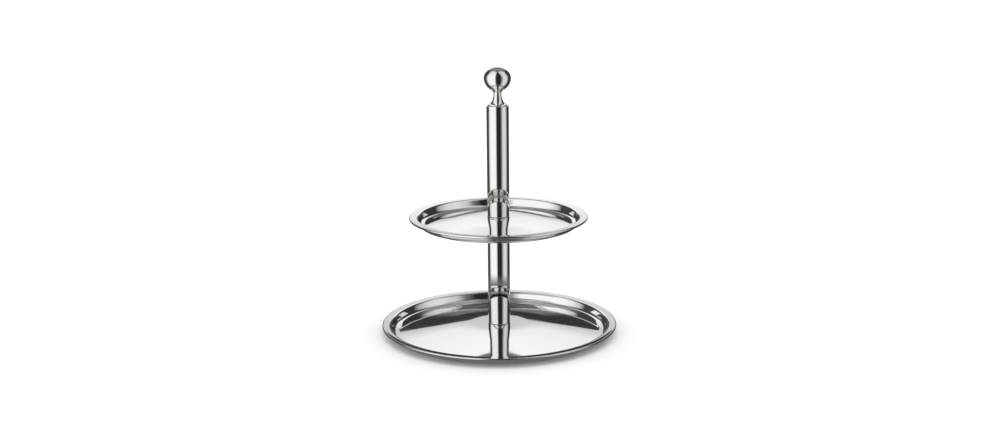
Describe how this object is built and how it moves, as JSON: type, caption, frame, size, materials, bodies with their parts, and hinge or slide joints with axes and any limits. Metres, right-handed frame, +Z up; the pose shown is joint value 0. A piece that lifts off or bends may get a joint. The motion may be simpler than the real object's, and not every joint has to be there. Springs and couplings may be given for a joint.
{
  "type": "tiered cake stand",
  "caption": "Round two-tier stand for cakes: a large and a small crowned tray of polished steel on a tube column, with a ball knob on top.",
  "frame": {"origin": "centre of the lower tray's resting ring, on the surface that the stand stands on", "axes": "+Z up along the column; the stand is round about Z, so +X and +Y are free"},
  "size_m": [0.3, 0.3, 0.3412],
  "materials": {
    "polished_steel": "mirror-polished stainless steel",
    "zinc_steel": "zinc-plated steel",
    "nylon": "natural nylon, moulded",
    "silicone": "clear silicone"
  },
  "bodies": {
    "base": {"lower_tray": "polished_steel", "tie_rod": "zinc_steel", "base_nut": "zinc_steel", "lock_washer": "zinc_steel", "base_washer": "zinc_steel", "seat_washer": "zinc_steel", "seat_nut": "zinc_steel", "lower_tray_seal": "silicone"},
    "lower_column": {"lower_tube": "polished_steel", "lower_foot_bush": "nylon", "lower_cap": "polished_steel"},
    "upper_tier": {"upper_tray": "polished_steel", "upper_tray_under_seal": "silicone", "upper_tray_top_seal": "silicone"},
    "upper_column": {"upper_tube": "polished_steel", "upper_foot_bush": "nylon", "upper_cap": "polished_steel"},
    "knob_travel": {"slip_washer": "nylon"},
    "knob": {"knob": "polished_steel"}
  },
  "joints": [
    {"name": "lower_tube_lift", "type": "slide", "parent": "base", "child": "lower_column", "axis": [0, 0, 1], "range_m": [0, 0.293]},
    {"name": "upper_tray_lift", "type": "slide", "parent": "lower_column", "child": "upper_tier", "axis": [0, 0, 1], "range_m": [0, 0.154]},
    {"name": "upper_tube_lift", "type": "slide", "parent": "upper_tier", "child": "upper_column", "axis": [0, 0, 1], "range_m": [0, 0.153]},
    {"name": "knob_rise", "type": "slide", "parent": "upper_column", "child": "knob_travel", "axis": [0, 0, 1], "range_m": [0, 0.0121]},
    {"name": "knob_turn", "type": "hinge", "parent": "knob_travel", "child": "knob", "pos_m": [0, 0, 0.2934], "axis": [0, 0, 1], "range_deg": [0, 4320]}
  ],
  "couplings": [
    {"joint": "knob_rise", "follows": "knob_turn", "m_per_rad": 0.00015915}
  ]
}
